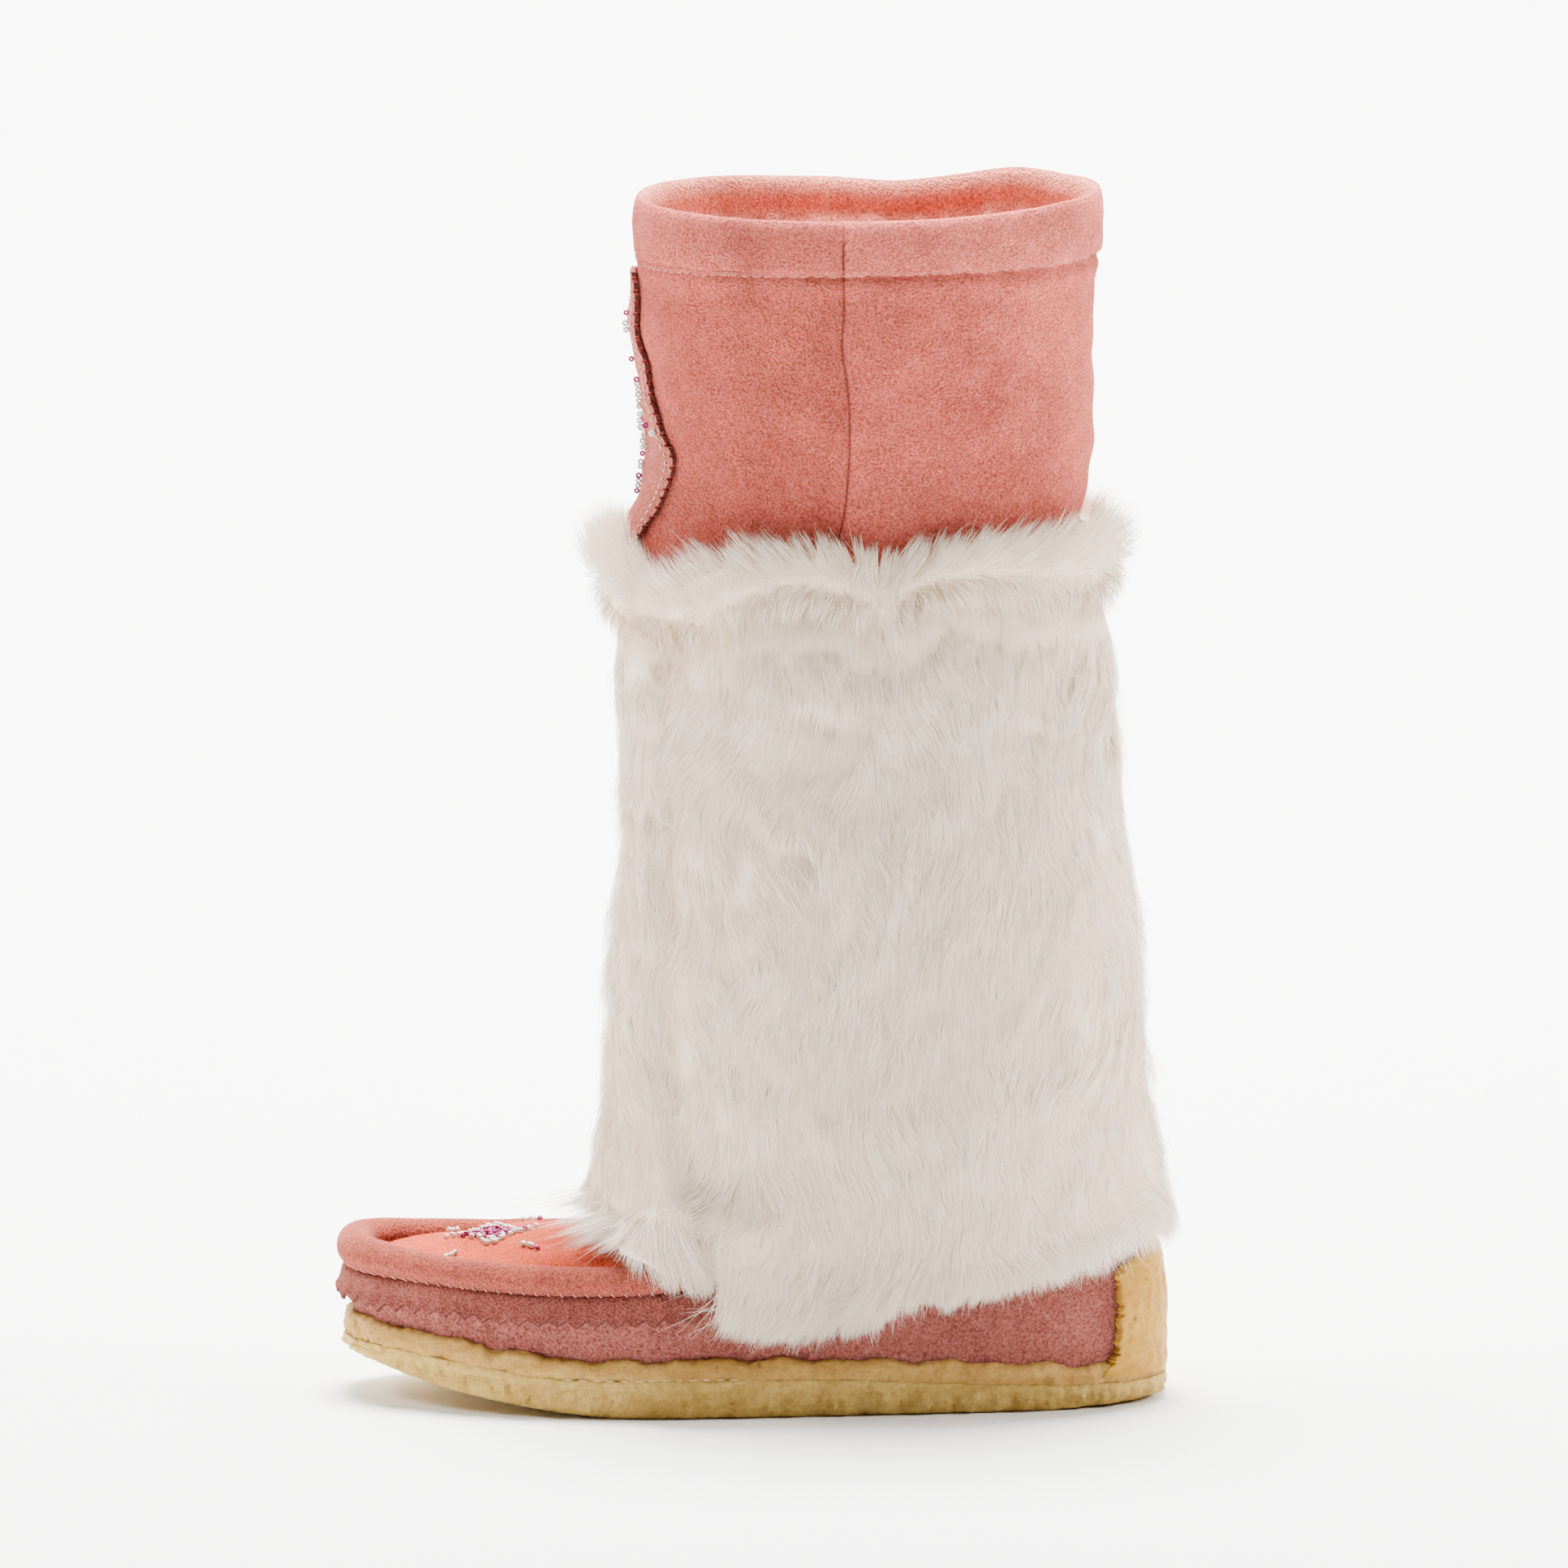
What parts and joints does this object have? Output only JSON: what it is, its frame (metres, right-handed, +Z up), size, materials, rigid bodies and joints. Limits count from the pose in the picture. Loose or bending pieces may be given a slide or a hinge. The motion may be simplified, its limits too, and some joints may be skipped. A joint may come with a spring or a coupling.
{
  "type": "mukluk boot",
  "caption": "Tall soft mukluk boot with a flat crepe sole, a rolled moccasin toe, deep fur round the leg and a plain drawstring-cased collar.",
  "frame": {"origin": "on the ground plane under the middle of the sole's length, on the sole's flat underside", "axes": "+Z up along the shaft, -X towards the toe, +X towards the heel, -Y the outer side of the left foot, +Y its inner side"},
  "size_m": [0.2768, 0.128, 0.4009],
  "materials": {
    "suede": "salmon pink brushed suede, matt",
    "dusky_suede": "dusky rose suede, matt",
    "crepe": "natural crepe rubber, uneven, slightly translucent",
    "insole_felt": "felt",
    "fur": "long soft white fur"
  },
  "bodies": {
    "root": {"upper": "suede", "apron": "suede", "vamp_roll": "suede", "pinked_trim": "dusky_suede", "front_shield": "suede", "outsole": "crepe", "foxing_band": "crepe", "heel_wrap": "crepe", "insole": "insole_felt", "fur_front": "fur", "fur_outer": "fur", "fur_inner": "fur"}
  },
  "joints": []
}
